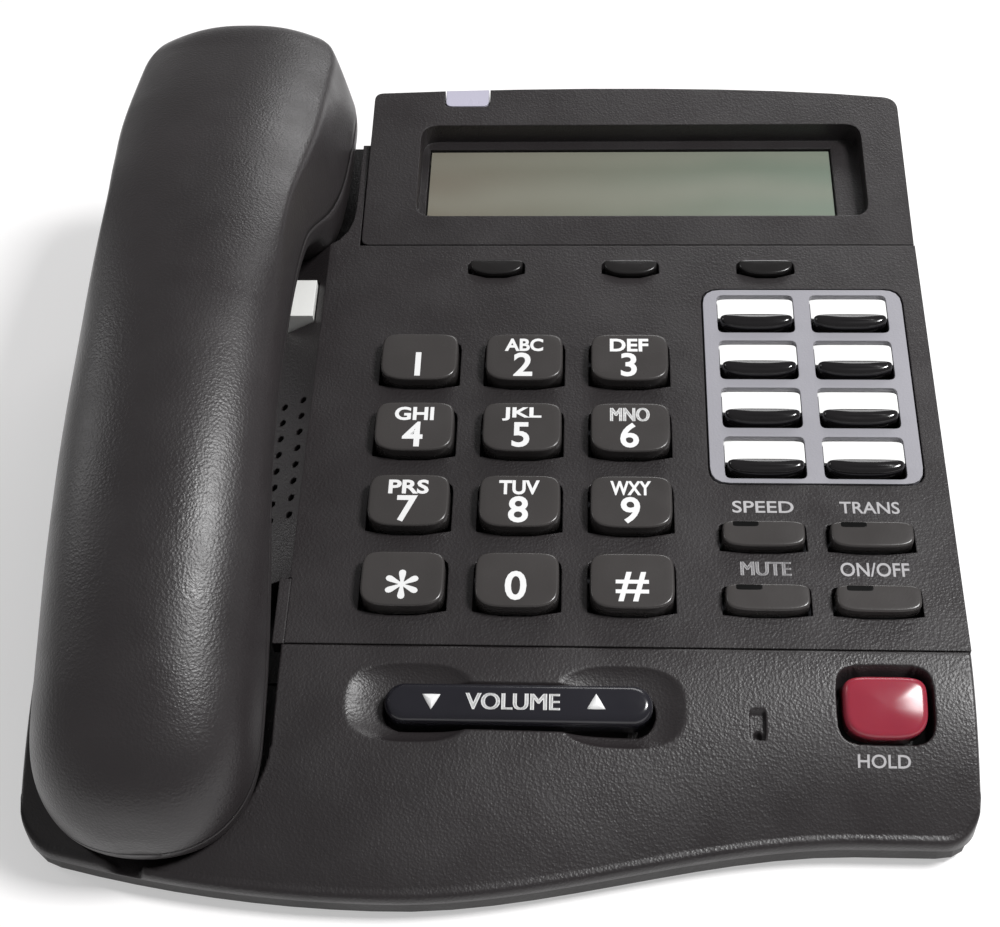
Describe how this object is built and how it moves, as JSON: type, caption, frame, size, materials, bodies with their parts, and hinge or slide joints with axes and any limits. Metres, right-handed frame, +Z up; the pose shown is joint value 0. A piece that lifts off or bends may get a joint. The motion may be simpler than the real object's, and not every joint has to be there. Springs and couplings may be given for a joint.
{
  "type": "desk telephone",
  "caption": "Desk telephone: sloping key deck with dial keys, line keys, display and volume rocker, convex front apron, and a handset lying in a cradle on its left.",
  "frame": {"origin": "on the table, under the middle of the outline seen from above", "axes": "+X to the user's right, +Y away from the user, +Z up"},
  "size_m": [0.184, 0.2062, 0.0768],
  "materials": {
    "housing_plastic": "fine leather grain, near black, warm",
    "tray_plastic": "plain moulded, near black",
    "key_plastic": "satin, very dark grey",
    "gloss_key_plastic": "polished black",
    "frame_plastic": "satin cool grey",
    "label_paper": "plain white",
    "hold_plastic": "polished dark red",
    "lamp_plastic": "pale frosted",
    "window_plastic": "clear",
    "lcd_glass": "grey green, unlit",
    "white_plastic": "satin white",
    "foot_rubber": "matt",
    "silicone": "matt grey",
    "board_laminate": "green lacquer",
    "steel": "plain zinc plated",
    "socket_plastic": "plain moulded black",
    "cone_paper": "pressed black paper"
  },
  "bodies": {
    "base": {"bottom_housing": "tray_plastic", "upper_housing": "housing_plastic", "front_panel": "housing_plastic", "display_housing": "housing_plastic", "foot_1": "foot_rubber", "foot_2": "foot_rubber", "foot_3": "foot_rubber", "foot_4": "foot_rubber", "screw_1": "steel", "screw_2": "steel", "screw_3": "steel", "screw_4": "steel", "base_microphone": "steel", "display_window": "window_plastic", "lcd_module": "lcd_glass", "message_lamp": "lamp_plastic", "line_key_frame": "frame_plastic", "label_sheet": "label_paper", "dial_mat": "silicone", "side_mat": "silicone", "main_board": "board_laminate", "loudspeaker": "cone_paper", "hook_switch": "socket_plastic", "line_jack": "socket_plastic", "handset_jack": "socket_plastic"},
    "handset": {"handset_shell": "housing_plastic", "handset_cover": "housing_plastic", "receiver_capsule": "steel", "transmitter_capsule": "steel", "handset_socket": "socket_plastic"},
    "key_1": {"key_1": "key_plastic"},
    "key_2": {"key_2": "key_plastic"},
    "key_3": {"key_3": "key_plastic"},
    "key_4": {"key_4": "key_plastic"},
    "key_5": {"key_5": "key_plastic"},
    "key_6": {"key_6": "key_plastic"},
    "key_7": {"key_7": "key_plastic"},
    "key_8": {"key_8": "key_plastic"},
    "key_9": {"key_9": "key_plastic"},
    "key_star": {"key_star": "key_plastic"},
    "key_0": {"key_0": "key_plastic"},
    "key_hash": {"key_hash": "key_plastic"},
    "line_key_1": {"line_key_1": "gloss_key_plastic"},
    "line_key_2": {"line_key_2": "gloss_key_plastic"},
    "line_key_3": {"line_key_3": "gloss_key_plastic"},
    "line_key_4": {"line_key_4": "gloss_key_plastic"},
    "line_key_5": {"line_key_5": "gloss_key_plastic"},
    "line_key_6": {"line_key_6": "gloss_key_plastic"},
    "line_key_7": {"line_key_7": "gloss_key_plastic"},
    "line_key_8": {"line_key_8": "gloss_key_plastic"},
    "speed_key": {"speed_key": "key_plastic"},
    "transfer_key": {"transfer_key": "key_plastic"},
    "mute_key": {"mute_key": "key_plastic"},
    "speaker_key": {"speaker_key": "key_plastic"},
    "soft_key_1": {"soft_key_1": "key_plastic"},
    "soft_key_2": {"soft_key_2": "key_plastic"},
    "soft_key_3": {"soft_key_3": "key_plastic"},
    "hold_key": {"hold_key": "hold_plastic"},
    "volume_rocker": {"volume_rocker": "gloss_key_plastic"},
    "hook_plunger": {"hook_plunger": "white_plastic"}
  },
  "joints": [
    {"name": "handset_lift", "type": "slide", "parent": "base", "child": "handset", "axis": [0, 0, 1], "range_m": [0, 0.1]},
    {"name": "hook_rise", "type": "slide", "parent": "base", "child": "hook_plunger", "axis": [0, -0.1736, 0.9848], "range_m": [0, 0.004]},
    {"name": "key_1_press", "type": "slide", "parent": "base", "child": "key_1", "axis": [0, 0.1736, -0.9848], "range_m": [0, 0.0015], "stiffness_N_per_m": 300},
    {"name": "key_2_press", "type": "slide", "parent": "base", "child": "key_2", "axis": [0, 0.1736, -0.9848], "range_m": [0, 0.0015], "stiffness_N_per_m": 300},
    {"name": "key_3_press", "type": "slide", "parent": "base", "child": "key_3", "axis": [0, 0.1736, -0.9848], "range_m": [0, 0.0015], "stiffness_N_per_m": 300},
    {"name": "key_4_press", "type": "slide", "parent": "base", "child": "key_4", "axis": [0, 0.1736, -0.9848], "range_m": [0, 0.0015], "stiffness_N_per_m": 300},
    {"name": "key_5_press", "type": "slide", "parent": "base", "child": "key_5", "axis": [0, 0.1736, -0.9848], "range_m": [0, 0.0015], "stiffness_N_per_m": 300},
    {"name": "key_6_press", "type": "slide", "parent": "base", "child": "key_6", "axis": [0, 0.1736, -0.9848], "range_m": [0, 0.0015], "stiffness_N_per_m": 300},
    {"name": "key_7_press", "type": "slide", "parent": "base", "child": "key_7", "axis": [0, 0.1736, -0.9848], "range_m": [0, 0.0015], "stiffness_N_per_m": 300},
    {"name": "key_8_press", "type": "slide", "parent": "base", "child": "key_8", "axis": [0, 0.1736, -0.9848], "range_m": [0, 0.0015], "stiffness_N_per_m": 300},
    {"name": "key_9_press", "type": "slide", "parent": "base", "child": "key_9", "axis": [0, 0.1736, -0.9848], "range_m": [0, 0.0015], "stiffness_N_per_m": 300},
    {"name": "key_star_press", "type": "slide", "parent": "base", "child": "key_star", "axis": [0, 0.1736, -0.9848], "range_m": [0, 0.0015], "stiffness_N_per_m": 300},
    {"name": "key_0_press", "type": "slide", "parent": "base", "child": "key_0", "axis": [0, 0.1736, -0.9848], "range_m": [0, 0.0015], "stiffness_N_per_m": 300},
    {"name": "key_hash_press", "type": "slide", "parent": "base", "child": "key_hash", "axis": [0, 0.1736, -0.9848], "range_m": [0, 0.0015], "stiffness_N_per_m": 300},
    {"name": "line_key_1_press", "type": "slide", "parent": "base", "child": "line_key_1", "axis": [0, 0.1736, -0.9848], "range_m": [0, 0.001], "stiffness_N_per_m": 300},
    {"name": "line_key_2_press", "type": "slide", "parent": "base", "child": "line_key_2", "axis": [0, 0.1736, -0.9848], "range_m": [0, 0.001], "stiffness_N_per_m": 300},
    {"name": "line_key_3_press", "type": "slide", "parent": "base", "child": "line_key_3", "axis": [0, 0.1736, -0.9848], "range_m": [0, 0.001], "stiffness_N_per_m": 300},
    {"name": "line_key_4_press", "type": "slide", "parent": "base", "child": "line_key_4", "axis": [0, 0.1736, -0.9848], "range_m": [0, 0.001], "stiffness_N_per_m": 300},
    {"name": "line_key_5_press", "type": "slide", "parent": "base", "child": "line_key_5", "axis": [0, 0.1736, -0.9848], "range_m": [0, 0.001], "stiffness_N_per_m": 300},
    {"name": "line_key_6_press", "type": "slide", "parent": "base", "child": "line_key_6", "axis": [0, 0.1736, -0.9848], "range_m": [0, 0.001], "stiffness_N_per_m": 300},
    {"name": "line_key_7_press", "type": "slide", "parent": "base", "child": "line_key_7", "axis": [0, 0.1736, -0.9848], "range_m": [0, 0.001], "stiffness_N_per_m": 300},
    {"name": "line_key_8_press", "type": "slide", "parent": "base", "child": "line_key_8", "axis": [0, 0.1736, -0.9848], "range_m": [0, 0.001], "stiffness_N_per_m": 300},
    {"name": "speed_key_press", "type": "slide", "parent": "base", "child": "speed_key", "axis": [0, 0.1736, -0.9848], "range_m": [0, 0.0012], "stiffness_N_per_m": 300},
    {"name": "transfer_key_press", "type": "slide", "parent": "base", "child": "transfer_key", "axis": [0, 0.1736, -0.9848], "range_m": [0, 0.0012], "stiffness_N_per_m": 300},
    {"name": "mute_key_press", "type": "slide", "parent": "base", "child": "mute_key", "axis": [0, 0.1736, -0.9848], "range_m": [0, 0.0012], "stiffness_N_per_m": 300},
    {"name": "speaker_key_press", "type": "slide", "parent": "base", "child": "speaker_key", "axis": [0, 0.1736, -0.9848], "range_m": [0, 0.0012], "stiffness_N_per_m": 300},
    {"name": "soft_key_1_press", "type": "slide", "parent": "base", "child": "soft_key_1", "axis": [0, 0.1736, -0.9848], "range_m": [0, 0.0008], "stiffness_N_per_m": 300},
    {"name": "soft_key_2_press", "type": "slide", "parent": "base", "child": "soft_key_2", "axis": [0, 0.1736, -0.9848], "range_m": [0, 0.0008], "stiffness_N_per_m": 300},
    {"name": "soft_key_3_press", "type": "slide", "parent": "base", "child": "soft_key_3", "axis": [0, 0.1736, -0.9848], "range_m": [0, 0.0008], "stiffness_N_per_m": 300},
    {"name": "hold_key_press", "type": "slide", "parent": "base", "child": "hold_key", "axis": [0, 0.4054, -0.9141], "range_m": [0, 0.0015], "stiffness_N_per_m": 300},
    {"name": "volume_rock", "type": "hinge", "parent": "base", "child": "volume_rocker", "pos_m": [0.0042, -0.0692, 0.02239], "axis": [0, 0.9552, 0.296], "range_deg": [-4, 4], "stiffness_Nm_per_rad": 0.05}
  ],
  "couplings": [
    {"joint": "hook_rise", "follows": "handset_lift", "ratio": 0.04}
  ]
}
